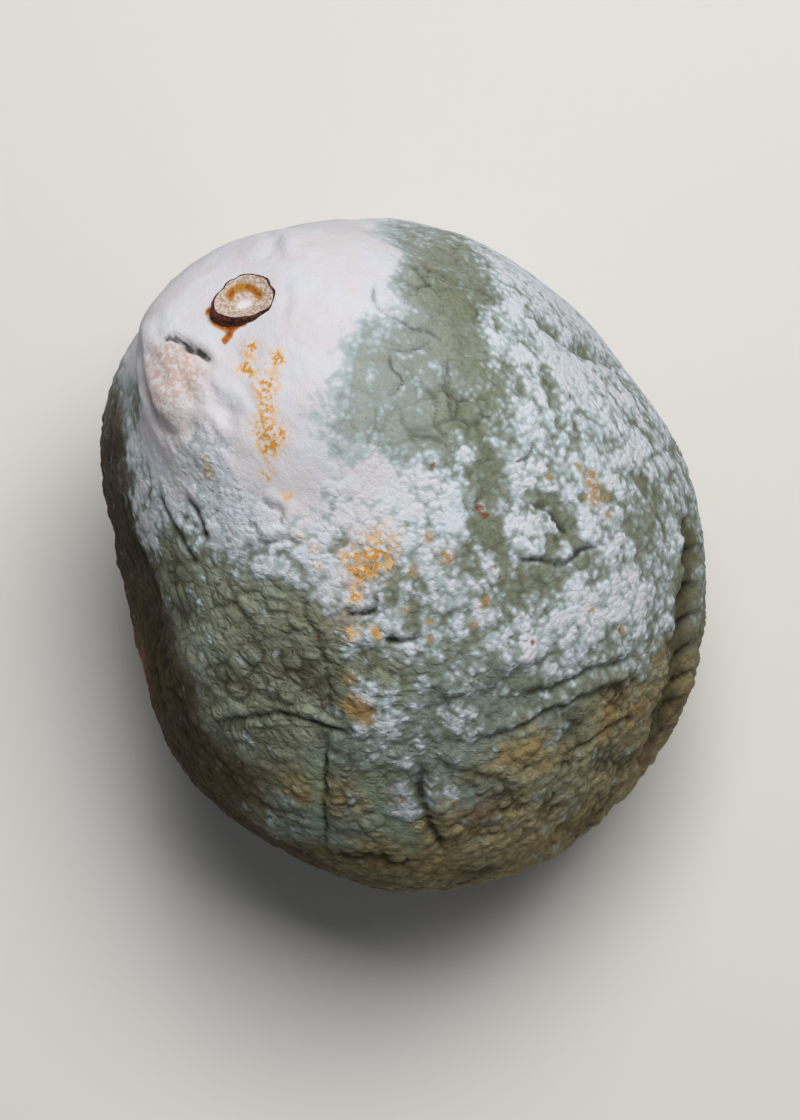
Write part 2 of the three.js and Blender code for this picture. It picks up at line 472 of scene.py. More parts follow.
def clump_field(p):
    """Where clumps of mould stand, about 0 at their edges: round blobs of two sizes, thicker in
    some places than others and thin along a network of open channels. Also the two domes."""
    bent = p + wobble(p, 2.2, 20, 3) * 0.7
    big, _, label = cells(bent, BIG_CLUMP_SIZE, 31)
    small, _, _ = cells(bent, SMALL_CLUMP_SIZE, 35)
    thick = 0.20 * rough(bent, 5.0, 33, 3) + 0.24 * (label - 0.5)
    channels = bell(rough(bent, 8.0, 38, 3) / 0.07)
    field = 0.55 * (0.52 - big) + 0.48 * (0.48 - small) + thick - 0.22 * channels
    return field, 1 - big**2, 1 - small**2


def plate_relief(p):
    """Soft leather plates, with a faint seam round some of them. Also where the seams are, for painted
    shade.
    """
    bent = p + wobble(p, 4.0, 50, 2) * 1.4
    near, second, label = cells(bent, PLATE_SIZE, 52)
    seam = (1 - smooth(0.0, 0.20, second - near)) * smooth(-0.4, 0.2, rough(p, 5.0, 57, 2))
    return 0.30 * label - 0.18 * seam + 0.25 * rough(p, 3.0, 55, 3), seam


# Lines on the skin: places, then width, depth and lip in millimetres, and dark. Lip is how much
# the skin rises beside the groove, on the left as it is followed. Dark is how much shade is painted in
# the groove.
CREASES = [
    # the dry slit on the neck, and wrinkles under it
    ([(25, 40), (25, 34), (27, 30), (28, 27), (30, 24)], 0.38, 0.75, 0.25, 1.7),
    ([(30, 39), (32, 38), (35, 36)], 0.6, 0.22, 0.1, 0.2),
    ([(31, 33), (33, 33), (36, 32)], 0.6, 0.22, 0.1, 0.2),
    ([(33, 27), (35, 26), (39, 22)], 0.6, 0.22, 0.1, 0.15),
    ([(37, 31), (39, 29), (43, 27)], 0.4, 0.30, 0.1, 0.4),
    # soft folds beside the button
    ([(12, -38), (16, -22), (19, -16)], 0.6, 0.35, 0.25, 0.1),
    ([(9, -45), (14, -23), (17, -12)], 0.6, 0.35, 0.2, 0.1),
    ([(22, -12), (26, -6), (29, 0)], 0.5, 0.2, 0.2, 0.05),
    # seams in the smooth grey-green skin beside the neck
    ([(30, -34), (34, -26), (37, -25), (40, -28), (44, -32), (47, -31)], 0.4, 0.32, 0.2, 0.55),
    ([(37, -52), (41, -43), (42, -37), (44, -33)], 0.4, 0.28, 0.2, 0.4),
    ([(44, -33), (44, -25), (42, -20), (44, -16), (47, -16), (47, -8)], 0.35, 0.3, 0.1, 0.6),
    ([(47, -8), (50, -5), (53, 0)], 0.35, 0.28, 0.05, 0.55),
    ([(47, -31), (51, -26), (55, -21), (58, -20)], 0.4, 0.3, 0.1, 0.6),
    # cracks among the clumps of mould
    ([(76, -23), (80, -25), (84, -26), (88, -27)], 0.4, 0.4, 0.2, 0.7),
    ([(84, -13), (87, -18), (91, -22), (92, -28), (94, -33)], 0.4, 0.45, 0.25, 0.8),
    ([(69, -25), (70, -29), (69, -33)], 0.3, 0.2, 0.1, 0.8),
    ([(76, 20), (77, 17), (78, 14), (75, 12)], 0.4, 0.5, 0.3, 0.9),
    ([(84, 16), (86, 12), (87, 8)], 0.4, 0.45, 0.25, 0.8),
    ([(68, 24), (73, 27), (78, 27), (84, 28), (91, 31), (96, 34)], 0.45, 0.4, 0.15, 0.55),
    ([(51, 25), (53, 24), (55, 22), (57, 24)], 0.4, 0.35, 0.3, 0.6),
    ([(57, 30), (59, 27), (60, 23), (62, 21)], 0.4, 0.35, 0.3, 0.6),
    # furrows on the side that is falling in
    ([(42, 55), (47, 54), (53, 51), (60, 46)], 0.6, 0.6, 0.25, 0.7),
    ([(46, 45), (50, 42), (55, 43)], 0.6, 0.6, 0.3, 0.8),
    ([(69, 76), (76, 84), (84, 83), (92, 80)], 1.1, 0.9, 0.5, 0.5),
    # the two straight pleats that cross below the scales
    ([(89, 62), (89, 56), (89, 49), (91, 40), (95, 35), (100, 29)], 0.4, 0.6, 0.4, 0.6),
    ([(95, 35), (102, 39), (109, 44), (116, 50), (123, 57)], 0.4, 0.7, 0.2, 0.8),
    # pleats round the blossom half
    ([(110, 22), (116, 26), (122, 29), (128, 31), (134, 33)], 0.7, 0.75, 0.3, 0.8),
    ([(112, 20), (117, 16), (121, 13), (126, 9)], 0.5, 0.35, 0.45, 0.4),
    ([(112, 14), (114, 3), (116, -8), (119, -18), (123, -30)], 0.5, 0.45, 0.75, 0.35),
    ([(108, 2), (112, -9), (114, -19), (118, -30)], 0.5, 0.35, 0.25, 0.5),
    ([(127, -2), (129, -12), (131, -22), (135, -30)], 0.5, 0.45, 0.25, 0.7),
    ([(100, 16), (103, 8), (104, -2), (107, -10)], 0.8, 0.45, 0.4, 0.3),
]

# Ruffled parts of the neck's side: along, around, size in millimetres, strength.
RUFFLED = [(34, 43, 6.0, 1.0), (33, 32, 5.0, 0.8), (41, 29, 4.5, 0.6), (25, 47, 4.0, 0.6)]
# The ledge along the neck's side, and the undercut beside it.
NECK_FLANK = [(20, 58), (25, 49), (30, 46), (34, 44), (37, 40), (40, 36)]
LEDGE_RISE = 0.9
LEDGE_WIDTH = 4.5
UNDERCUT_DEPTH = 0.9
UNDERCUT_OFF = 0.9  # from the ledge's edge to the middle of the undercut
# The sunken seam low on the right side, crossed by puckers, with a raised bank on each side.
PUCKERED_SEAM = [
    (104, -64), (110, -61), (115, -56), (120, -51), (125, -48), (131, -46), (137, -43), (144, -41),
    (150, -39),
]
PUCKER_SPACING = 3.7
PUCKER_RISE = 1.7
TRENCH_DEPTH = 2.3
TRENCH_WIDTH = 2.5
BANK_RISE = 0.5
BANK_WIDTH = 1.2
BANK_OFF = 3.7  # from the middle of the seam to the bank
# Bare channels between the clumps, then pale green runs on the pleats, each with its width.
SHOULDER_CHANNEL = [(54, -62), (60, -64), (66, -69), (74, -79), (84, -82)]
SHOULDER_CHANNEL_WIDTH = 1.3
GREEN_CHANNELS = [
    [(50, -20), (58, -22), (66, -21), (72, -17), (79, -13), (86, -12)],
    [(60, -50), (64, -46), (68, -42), (72, -40)],
    [(73, -20), (80, -27), (87, -27), (93, -28), (101, -30)],
    [(86, -48), (91, -50), (97, -54)],
]
GREEN_CHANNEL_WIDTH = 0.9
GREEN_PLEATS = [
    ([(97, 38), (104, 43), (111, 48), (118, 54)], 0.8),
    ([(108, 34), (115, 35), (122, 36), (130, 38)], 1.2),
]

# Stains: along, around, size in millimetres, strength.
ORANGE = [
    (34, 6, 1.0, 0.9), (30, 12, 0.9, 1.1), (33, 15, 0.9, 1.2), (37, 12, 1.5, 0.8),
    (40, 14, 1.1, 0.6), (43, 17, 1.5, 0.85), (46, 18, 1.0, 0.8), (45, 14, 0.9, 0.7),
    (49, 21, 0.8, 0.9), (53, 19, 0.8, 0.6), (70, 9, 1.6, 0.9), (70, 13, 1.3, 0.8),
    (67, 13, 1.2, 0.5), (74, 16, 0.8, 0.9), (63, 19, 0.5, 1.1), (66, 20, 0.5, 1.1),
    (82, 16, 0.8, 0.9), (80, 20, 0.9, 0.6), (60, 21, 1.2, 0.35), (67, 5, 2.4, 0.35),
]
OCHRE = [
    (82, -38, 1.2, 1.0), (85, -36, 1.2, 1.0), (78, -37, 0.7, 0.8), (87, -39, 0.8, 0.9),
    (90, -37, 0.6, 0.9), (88, -5, 0.8, 1.0), (90, -1, 0.6, 1.0), (81, 9, 0.7, 0.8),
    (88, 8, 0.7, 0.7), (71, -2, 0.9, 0.8), (76, -3, 1.1, 0.9), (75, 4, 0.8, 0.9),
    (76, -30, 0.5, 0.9), (85, 6, 0.6, 0.8), (93, 27, 1.3, 1.3), (96, 26, 1.3, 1.3),
    (88, 25, 0.9, 0.9), (45, 34, 0.9, 0.9), (43, 33, 0.6, 0.8), (94, -9, 0.6, 0.6),
    (27, 38, 1.0, 0.5), (116, 31, 0.5, 1.1), (122, 22, 0.5, 1.1), (67, -45, 1.4, 0.25),
    (55, -54, 1.2, 0.2), (102, -23, 0.6, 0.8), (110, -27, 0.8, 0.9),
]
RUST = [
    (61, -11, 0.45, 1.3), (72, -14, 0.5, 1.4), (74, -14, 0.5, 1.3), (83, -10, 0.4, 1.1),
    (85, -10, 0.4, 1.1), (78, 27, 0.7, 0.8), (73, 27, 0.5, 0.7), (100, -9, 0.4, 1.2),
    (110, -27, 0.4, 1.2), (77, 11, 0.5, 0.7),
]
# Runs of ooze under the button: along, around, size in millimetres.
OOZE = [
    (22, 20, 0.65), (23.5, 18.5, 0.8), (24.8, 16, 0.8), (25.3, 13.5, 0.6), (26.6, 16.5, 0.4),
    (27.2, 18.5, 0.35), (25.6, 10.5, 0.35),
]
# Where the mould has a salmon tinge: along, around, size in millimetres, strength.
TINGED = [
    (28, 35, 2.4, 0.9), (32, 36, 2.6, 0.7), (33, 29, 2.4, 0.5), (27, 45, 2.0, 0.6),
    (31, 49, 1.8, 0.6), (35, 43, 1.8, 0.6), (38, 38, 1.6, 0.5),
    (14, -10, 3.0, 0.25), (70, 13, 3.4, 0.7), (66, 8, 2.6, 0.4), (78, 20, 2.2, 0.5),
    (36, 14, 3.0, 0.25), (45, 16, 3.0, 0.3),
]
# Tufts where the mould lies thicker: along, around, size in millimetres.
MOULD_TUFTS = [
    (114, 31, 1.1), (120, 31, 1.2), (121, 21, 1.2), (94, 52, 1.3), (108, 66, 1.6), (112, 62, 1.2),
    (91, 24, 1.6), (97, 23, 1.8), (103, 26, 2.0), (83, 22, 1.3), (98, 29, 1.0), (64, 54, 1.2),
    (72, 51, 1.0), (105, 12, 1.5), (103, -20, 3.2), (107, -31, 2.8), (98, -10, 2.4), (48, 50, 1.4),
    (40, 52, 1.6), (35, 56, 1.6), (38, 70, 1.6), (54, 33, 1.2), (78, 36, 0.8), (70, 36, 1.0),
]


def near_place(p, along, around, size):
    """Bell about a place, its size in millimetres."""
    return bell(np.linalg.norm(p - on_body([(along, around)])[0], axis=1) / size)


def patches_of(p, spots):
    """Sum of strength times a bell for each spot."""
    return sum(strength * near_place(p, along, around, size) for along, around, size, strength in spots)


def crease_relief(p):
    """Grooves: minus depth times a bell of the distance, which wanders a little, plus a lip two
    widths off on the left. Also how much painted shade the grooves put at each point."""
    height = np.zeros(len(p))
    dark = np.zeros(len(p))
    wander = 0.45 * rough(p, 2.2, 120, 3)
    for places, width, depth, lip, shade_strength in CREASES:
        across, _, share = along_line(p, places)
        across = across + wander
        taper = ends_fade(share)
        height -= depth * taper * bell(across / width)
        height += lip * taper * bell((across - 2.0 * width) / (1.6 * width))
        dark = np.maximum(dark, shade_strength * taper * bell(across / (0.8 * width)))
    return height, dark


def neck_flank_relief(p):
    """A ledge: the neck's side stands over the skin beside it, which is undercut. Also where the
    undercut is, for painted shade.
    """
    across, _, share = along_line(p, NECK_FLANK)
    across = across + 0.3 * rough(p, 2.5, 130, 2)
    taper = ends_fade(share, 0.25)
    over = smooth(-0.5, 0.6, across) * bell(np.maximum(across, 0) / LEDGE_WIDTH)
    under = bell(across + UNDERCUT_OFF)
    return taper * (LEDGE_RISE * over - UNDERCUT_DEPTH * under), taper * under


def puckered_seam_relief(p):
    """A sunken seam crossed by rope-like puckers: a trench plus a cosine along it. Also where the
    trench is, and how far down between the puckers each point is, for painted shade."""
    across, run, share = along_line(p, PUCKERED_SEAM)
    taper = ends_fade(share, 0.12)
    trench = bell(across / TRENCH_WIDTH) * taper
    swing = run + 0.35 * across + 0.7 * rough(p, 5.0, 140, 2)
    pucker = np.cos(2 * np.pi * swing / PUCKER_SPACING)
    bulge = smooth(-1.0, 0.1, pucker)
    bank = bell((np.abs(across) - BANK_OFF) / BANK_WIDTH) * taper
    height = trench * (PUCKER_RISE * bulge - TRENCH_DEPTH) + BANK_RISE * bank
    return height, trench, trench * (1 - bulge)


def channel_share(p, line, width):
    """Bell of the distance from a line, fading at its ends."""
    across, _, share = along_line(p, line)
    across = across + 0.7 * rough(p, 2.6, 150, 3)
    return bell(across / width) * ends_fade(share, 0.1)


def coat_of_mould(p, along, share, bare_channels, seam_share, ooze):
    """How thickly mould lies, before its clumps: each kind of skin's own coat, with tufts added,
    and less of it in channels, in the seam, under ooze and towards the blossom end."""
    tufts = sum(near_place(p, *tuft) for tuft in MOULD_TUFTS)
    coat = sum(share[kind] * COAT[kind] for kind in share)
    coat = coat + 0.38 * np.minimum(tufts, 1) - 0.45 * bare_channels
    coat = coat - 0.9 * seam_share - 0.6 * ooze
    return coat - THINNING * (along - THINNING_FROM) * share["clumps"]


def bare_ground(p, along, share, crevice_shade, pleat_green):
    """Colour of the skin under the mould: each kind's own, with painted shade in crevices, with pale
    green pleats, golden and mauve drifts, and blue-grey smears."""
    ground = sum(
        share[kind][:, None] * mix(linear(bare), linear(deep), crevice_shade[:, None])
        for kind, (bare, deep) in GROUND.items()
    )
    ground = mix(ground, linear(PALE_GREEN), np.clip(0.7 * pleat_green, 0, 1)[:, None])
    drift = rough(p, 4.0, 162, 4) * share["ochre"]
    ground = mix(ground, linear(GOLDEN), smooth(0.05, 0.5, drift)[:, None] * 0.7)
    ground = mix(ground, linear(MAUVE), smooth(-0.05, -0.5, drift)[:, None] * 0.7)
    smear = smooth(-0.30, 0.25, rough(stretched(tip_up(p), WRINKLES, 2.0), 6.0, 160, 4))
    smear = smear * (share["ochre"] + 0.5 * share["film"]) * smooth(150, 118, along)
    return mix(ground, linear(BLUE_GREY), (0.85 * smear * (1 - 0.5 * crevice_shade))[:, None])


def grown_skin(d):
    """Height of the relief over the smooth body at each direction, the bare skin's colour there
    with painted shade in its crevices, and the shares of mould, painted shade in the grooves and
    stains that the material lays over it."""
    p = d * body_radius(d)[:, None]
    world = tip_up(p)
    along = np.degrees(np.arccos(np.clip(d[:, 0], -1, 1)))
    share = skin_shares(d, p)
    smooth_skin = share["sage"] + share["green"]
    scaly = share["scales"] + 0.5 * share["film"] + 0.4 * share["dusty"]
    wrinkled = share["ochre"] + 0.5 * share["film"] + 0.6 * share["dusty"]
    leathery = share["scales"] + 0.6 * share["ochre"] + 0.6 * (share["dusty"] + share["film"])

    lumps = 0.42 * rough(p, 12.0, 11, 2) + 0.16 * rough(p, 4.5, 12, 2)
    scales, scale_shade = scale_relief(world)
    wrinkles, wrinkle_shade = wrinkle_relief(world)
    field, big_domes, small_domes = clump_field(p)
    plates, plate_seam_shade = plate_relief(p)
    creases, crease_shade = crease_relief(p)
    flank, flank_shade = neck_flank_relief(p)
    seam, seam_share, pucker_shade = puckered_seam_relief(p)
    flank_run = on_body(NECK_FLANK[-1:])[0] - on_body(NECK_FLANK[:1])[0]
    ruffles = np.minimum(patches_of(p, RUFFLED), 1) * rough(stretched(p, flank_run, 2.0), 1.9, 170, 3)
    felt = share["cotton"] * (0.10 * rough(p, 1.3, 180, 3) + 0.12 * rough(p, 3.4, 184, 2))
    channel = channel_share(p, SHOULDER_CHANNEL, SHOULDER_CHANNEL_WIDTH)
    green = sum(channel_share(p, line, GREEN_CHANNEL_WIDTH) for line in GREEN_CHANNELS)
    pleat_green = sum(channel_share(p, line, width) for line, width in GREEN_PLEATS)
    ooze = sum(near_place(p, *blob) for blob in OOZE)

    # painted shade from the furrows of the scales and wrinkles
    rind_shade = scaly * scale_shade + wrinkled * wrinkle_shade
    smoothed = 1 - 0.75 * np.clip(pleat_green, 0, 1)
    rind_relief = smoothed * (
        0.75 * scaly * scales
        + wrinkled * wrinkles
        + (1.1 * share["sage"] + 2.2 * share["green"]) * plates
        + share["rind"] * 0.3 * wrinkles
        + share["clumps"] * 0.35 * wrinkles
    )

    evenness = 0.8 * share["cotton"] + 0.5 * smooth_skin + 0.3 * share["dusty"]
    veil = rough(p, 6.0, 175, 4) * (smooth_skin + 0.6 * share["film"] + 0.4 * share["ochre"])
    coat = coat_of_mould(p, along, share, channel + green, seam_share, ooze)
    coat = coat + 1.25 * field * (1 - evenness)
    coat = coat - 0.30 * leathery * rind_shade + 0.45 * veil
    standing = smooth(0.40, 0.78, coat)
    mould = standing * (0.10 + 0.13 * big_domes + 0.08 * small_domes)
    mould = mould * (1 - 0.3 * share["cotton"])

    near_button = near_place(p, *BUTTON_SEAT, BUTTON_CLEAR)
    height = lumps + rind_relief * (1 - 0.55 * standing) + mould + 0.8 * creases
    height = (height + 0.75 * ruffles + felt) * (1 - near_button)
    height = height + flank + seam - 0.6 * channel - 0.12 * green + 0.18 * ooze

    # Painted shade in furrows, hollows and seams, between the small mould buds, in the puckered trench
    # and under the neck's ledge.
    crevice_shade = rind_shade + smooth_skin * 0.9 * plate_seam_shade + share["clumps"] * (1 - small_domes)
    crevice_shade = np.clip(crevice_shade * (1 - 0.6 * standing) + pucker_shade + 0.5 * flank_shade, 0, 1)
    ground = bare_ground(p, along, share, crevice_shade, pleat_green)
    # The trench is painted dark brown, partly its own colour and partly painted shade, and darker still
    # between the puckers as painted shade.
    seam_colour_and_shade = mix(linear(SEAM_BROWN_AND_SHADE), linear(SEAM_SHADE), pucker_shade[:, None])
    ground = mix(ground, seam_colour_and_shade, np.clip(1.3 * seam_share, 0, 1)[:, None] * 0.9)

    colours = {
        "coat": coat,
        "cotton": share["cotton"],
        # painted shade down in the grooves
        "groove_shade": np.clip(crease_shade, 0, 1),
        "orange": patches_of(p, ORANGE),
        "ochre": patches_of(p, OCHRE),
        "tinge": patches_of(p, TINGED),
        "rust": patches_of(p, RUST),
        "ooze": np.clip(ooze, 0, 1),
        "leathery": np.clip(leathery + 0.35 * share["clumps"] + 0.7 * share["green"], 0, 1),
    }
    return height, ground, colours


def middle_height(d):
    """How high the fruit's middle is over the table: its lowest reach less the press."""
    return -tip_up(d * body_radius(d)[:, None])[:, 2].min() - FLAT_PRESS


def new_piece(name, points, faces, material, node):
    """A mesh from millimetre points and a list of faces, smooth shaded, that replaces a node."""
    mesh = bpy.data.meshes.new(name)
    mesh.from_pydata((points * MM).tolist(), [], faces)
    mesh.polygons.foreach_set("use_smooth", np.ones(len(mesh.polygons), dtype=bool))
    mesh.materials.append(material)
    piece = bpy.data.objects.new(name, mesh)
    bpy.context.scene.collection.objects.link(piece)
    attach(piece, "root")
    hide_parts(node)
    return piece


def paint(piece, name, values):
    """Stores one number or one colour for each corner point of a mesh."""
    if values.ndim == 1:
        layer = piece.data.attributes.new(name, "FLOAT", "POINT")
        layer.data.foreach_set("value", values.astype(np.float32))
    else:
        layer = piece.data.attributes.new(name, "FLOAT_COLOR", "POINT")
        rgba = np.column_stack([values, np.ones(len(values))])
        layer.data.foreach_set("color", rgba.astype(np.float32).ravel())


# ---- Materials ----


COLOUR_A, COLOUR_B, COLOUR_OUT = 6, 7, 2  # the sockets of a Mix node that mixes colours


class Recipe:
    """A material's nodes, added one call at a time. Every call but feed returns an output."""

    def __init__(self, name):
        self.material = bpy.data.materials.new(name)
        self.material.use_nodes = True
        self.tree = self.material.node_tree
        self.shader = self.tree.nodes["Principled BSDF"]
        self.place = self.tree.nodes.new("ShaderNodeTexCoord").outputs["Object"]

    def feed(self, socket, value):
        """Links a socket, or sets a plain value on it."""
        if isinstance(value, bpy.types.NodeSocket):
            self.tree.links.new(value, socket)
        else:
            socket.default_value = value

    def painted(self, name, kind="Fac"):
        """What paint stored on the mesh: a number, or a colour where kind is Color."""
        node = self.tree.nodes.new("ShaderNodeAttribute")
        node.attribute_name = name
        return node.outputs[kind]

    def grain(self, size, detail=2.0, roughness=0.55):
        """Noise whose lumps are about a size in millimetres."""
        node = self.tree.nodes.new("ShaderNodeTexNoise")
        node.inputs["Scale"].default_value = 1 / (size * MM)
        node.inputs["Detail"].default_value = detail
        node.inputs["Roughness"].default_value = roughness
        self.feed(node.inputs["Vector"], self.place)
        return node.outputs["Fac"]

    def swirled(self, size, reach):
        """The place moved about by noise: lumps of a size and a reach, in millimetres."""
        noise = self.tree.nodes.new("ShaderNodeTexNoise")
        noise.inputs["Scale"].default_value = 1 / (size * MM)
        self.feed(noise.inputs["Vector"], self.place)
        node = self.tree.nodes.new("ShaderNodeVectorMath")
        node.operation = "MULTIPLY_ADD"
        node.inputs[1].default_value = (2 * reach * MM,) * 3
        self.feed(node.inputs[0], noise.outputs["Color"])
        self.feed(node.inputs[2], self.place)
        return node.outputs["Vector"]

    def in_rows(self, vector, turn, stretch):
        """Space turned about Z, in degrees, and squeezed along the turned X."""
        node = self.tree.nodes.new("ShaderNodeMapping")
        node.vector_type = "TEXTURE"
        node.inputs["Rotation"].default_value = (0, 0, np.radians(turn))
        node.inputs["Scale"].default_value = (stretch, 1, 1)
        self.feed(node.inputs["Vector"], vector)
        return node.outputs["Vector"]

    def cells(self, vector, size, feature):
        """Distance in a cell pattern: to the nearest point, or to the nearest edge."""
        node = self.tree.nodes.new("ShaderNodeTexVoronoi")
        node.feature = feature
        node.inputs["Scale"].default_value = 1 / (size * MM)
        self.feed(node.inputs["Vector"], vector)
        return node.outputs["Distance"]

    def math(self, operation, a, b=0.0, c=0.0):
        """A sum on sockets or plain values. MULTIPLY_ADD is a times b, plus c."""
        node = self.tree.nodes.new("ShaderNodeMath")
        node.operation = operation
        for socket, value in zip(node.inputs, (a, b, c)):
            self.feed(socket, value)
        return node.outputs[0]

    def step(self, value, low, high, start=0.0, end=1.0):
        """Soft step from start to end as the value goes from low to high."""
        node = self.tree.nodes.new("ShaderNodeMapRange")
        node.interpolation_type = "SMOOTHSTEP"
        self.feed(node.inputs["Value"], value)
        for name, number in zip(("From Min", "From Max", "To Min", "To Max"), (low, high, start, end)):
            node.inputs[name].default_value = number
        return node.outputs[0]

    def blend(self, share, a, b, kind="MIX"):
        """Colour a where the share is 0, b where it is 1. A plain colour is 0 to 255."""
        node = self.tree.nodes.new("ShaderNodeMix")
        node.data_type = "RGBA"
        node.blend_type = kind
        self.feed(node.inputs["Factor"], share)
        for socket, value in ((node.inputs[COLOUR_A], a), (node.inputs[COLOUR_B], b)):
            plain = not isinstance(value, bpy.types.NodeSocket)
            self.feed(socket, (*linear(value), 1.0) if plain else value)
        return node.outputs[COLOUR_OUT]

    def bump(self, height, distance, strength, under=None):
        """Fine relief in the shading, its distance in millimetres, over another bump if given."""
        node = self.tree.nodes.new("ShaderNodeBump")
        node.inputs["Distance"].default_value = distance * MM
        node.inputs["Strength"].default_value = strength
        self.feed(node.inputs["Height"], height)
        if under is not None:
            self.feed(node.inputs["Normal"], under)
        return node.outputs["Normal"]


# Stains in the order they are laid, and last the painted shade in the grooves: the paint, the
# grain that breaks it up, as a step from thin to thick, and the colours it goes through, each with
# its own step and strength.
STAINS = [
    ("tinge", "speckle", (0.35, 0.65, 0.15, 1.1), [(0.0, 1.0, 0.75, (192, 160, 142))]),
    (
        "orange", "speckle", (0.40, 0.60, 0.2, 1.8),
        [(0.08, 0.9, 0.9, (224, 186, 138)), (0.7, 1.4, 0.85, (198, 136, 50))],
    ),
    ("ochre", "speckle", (0.36, 0.60, 0.3, 1.3), [(0.15, 1.0, 0.85, (172, 138, 84))]),
    ("rust", "speckle", (0.3, 0.6, 0.6, 1.2), [(0.4, 1.2, 0.85, (132, 66, 44))]),
    (
        "ooze", "ragged", (0.3, 0.6, 0.7, 1.2),
        [(0.25, 0.6, 1.0, (186, 110, 34)), (0.6, 1.0, 1.0, (120, 52, 20))],
    ),
    # painted shade in the grooves, laid like a stain
    ("groove_shade", "ragged", (0.3, 0.6, 0.7, 1.1), [(0.15, 0.95, 0.95, (42, 40, 28))]),
]


def gritty_ground(r, grit, blotch, cracks):
    """The painted ground colour, darker in its grit, with olive blotches and painted shade in its
    cracks.
    """
    ground = r.painted("ground", "Color")
    ground = r.blend(r.step(grit, 0.40, 0.75, 0.0, 0.30), ground, (70, 66, 52), "MULTIPLY")
    ground = r.blend(r.step(blotch, 0.35, 0.7, 0.0, 0.30), ground, (150, 140, 104), "SOFT_LIGHT")
    # painted shade down in the cracks between the scales
    return r.blend(r.math("MULTIPLY", cracks, 0.32), ground, (56, 52, 38))


def mould_over(r, ground, thickness, blotch, cotton):
    """Mould over the ground, as it gets thicker: grey-green dust, a grey film, a white coat."""
    dusted = r.blend(r.step(thickness, 0.14, 0.50, 0.0, 0.75), ground, (148, 160, 156))
    filmed = r.blend(r.step(thickness, 0.42, 0.62), dusted, (170, 183, 188))
    white = r.blend(r.step(blotch, 0.38, 0.66), (205, 214, 223), (212, 212, 218))
    cottony = r.blend(r.step(blotch, 0.40, 0.62), (210, 212, 219), (211, 207, 211))
    white = r.blend(r.step(cotton, 0.0, 0.5), white, cottony)
    return r.blend(r.step(thickness, 0.58, 0.86), filmed, white)


def stained(r, skin, grains):
    """The skin with every stain laid over it in turn, and then painted shade in the grooves."""
    for paint_name, grain_name, broken_up, colours in STAINS:
        share = r.math("MULTIPLY", r.painted(paint_name), r.step(grains[grain_name], *broken_up))
        for low, high, strength, colour in colours:
            skin = r.blend(r.step(share, low, high, 0.0, strength), skin, colour)
    return skin


def mouldy_rind():
    """Bare rind in its painted ground colour, cracked into scales with painted shade in the cracks,
    dusted and coated with white mould in round buds, then stained, with painted shade in its
    grooves. The cracks, buds and grit are also bump."""
    r = Recipe("mouldy_rind")
    blotch = r.grain(5.0, 4)
    ragged = r.grain(1.3, 4, 0.62)
    grit = r.grain(0.42, 4, 0.62)
    powder = r.grain(0.15, 2)
    speckle = r.grain(0.55, 4, 0.6)
    cotton = r.painted("cotton")
    coat = r.painted("coat")
    swirled = r.swirled(1.5, 0.35)

    edges = r.cells(r.in_rows(swirled, 38.0, 1.5), 0.95, "DISTANCE_TO_EDGE")
    cracks = r.math("MULTIPLY", r.step(edges, 0.0, 0.26, 1.0, 0.0), r.painted("leathery"))
    cracks = r.math("MULTIPLY", cracks, r.step(ragged, 0.35, 0.62, 0.05, 1.0))

    buds = r.step(r.cells(swirled, 0.75, "F1"), 0.85, 0.05)
    lobes = r.math("MULTIPLY", r.math("ADD", buds, -0.55), r.math("MULTIPLY_ADD", cotton, -0.85, 1.0))
    lobes = r.math("MULTIPLY", lobes, r.step(coat, 0.15, 0.45))
    thickness = r.math("MULTIPLY_ADD", r.math("ADD", ragged, -0.5), 0.50, coat)
    thickness = r.math("MULTIPLY_ADD", r.math("ADD", grit, -0.5), 0.22, thickness)
    thickness = r.math("MULTIPLY_ADD", lobes, 0.36, thickness)
    thickness = r.math("MULTIPLY_ADD", cracks, -0.16, thickness)

    skin = mould_over(r, gritty_ground(r, grit, blotch, cracks), thickness, blotch, cotton)
    skin = stained(r, skin, {"speckle": speckle, "ragged": ragged})
    r.feed(r.shader.inputs["Base Color"], skin)
    r.feed(r.shader.inputs["Roughness"], r.step(r.painted("ooze"), 0.3, 0.8, 0.92, 0.42))
    r.shader.inputs["Specular IOR Level"].default_value = 0.25

    relief = r.math("MULTIPLY_ADD", cracks, -0.65, r.math("MULTIPLY", ragged, 0.8))
    raised = r.math("MULTIPLY", lobes, r.step(thickness, 0.40, 0.70, 0.0, 0.45))
    relief = r.math("ADD", relief, raised)
    relief = r.math("MULTIPLY", relief, r.math("MULTIPLY_ADD", cotton, -0.35, 1.0))
    gritty = r.math("MULTIPLY_ADD", powder, 0.6, grit)
    gritty = r.math("MULTIPLY", gritty, r.math("MULTIPLY_ADD", cotton, -0.45, 1.0))
    lumps = r.bump(relief, 0.22, 0.9)
    r.feed(r.shader.inputs["Normal"], r.bump(gritty, 0.14, 0.85, lumps))
    return r.material


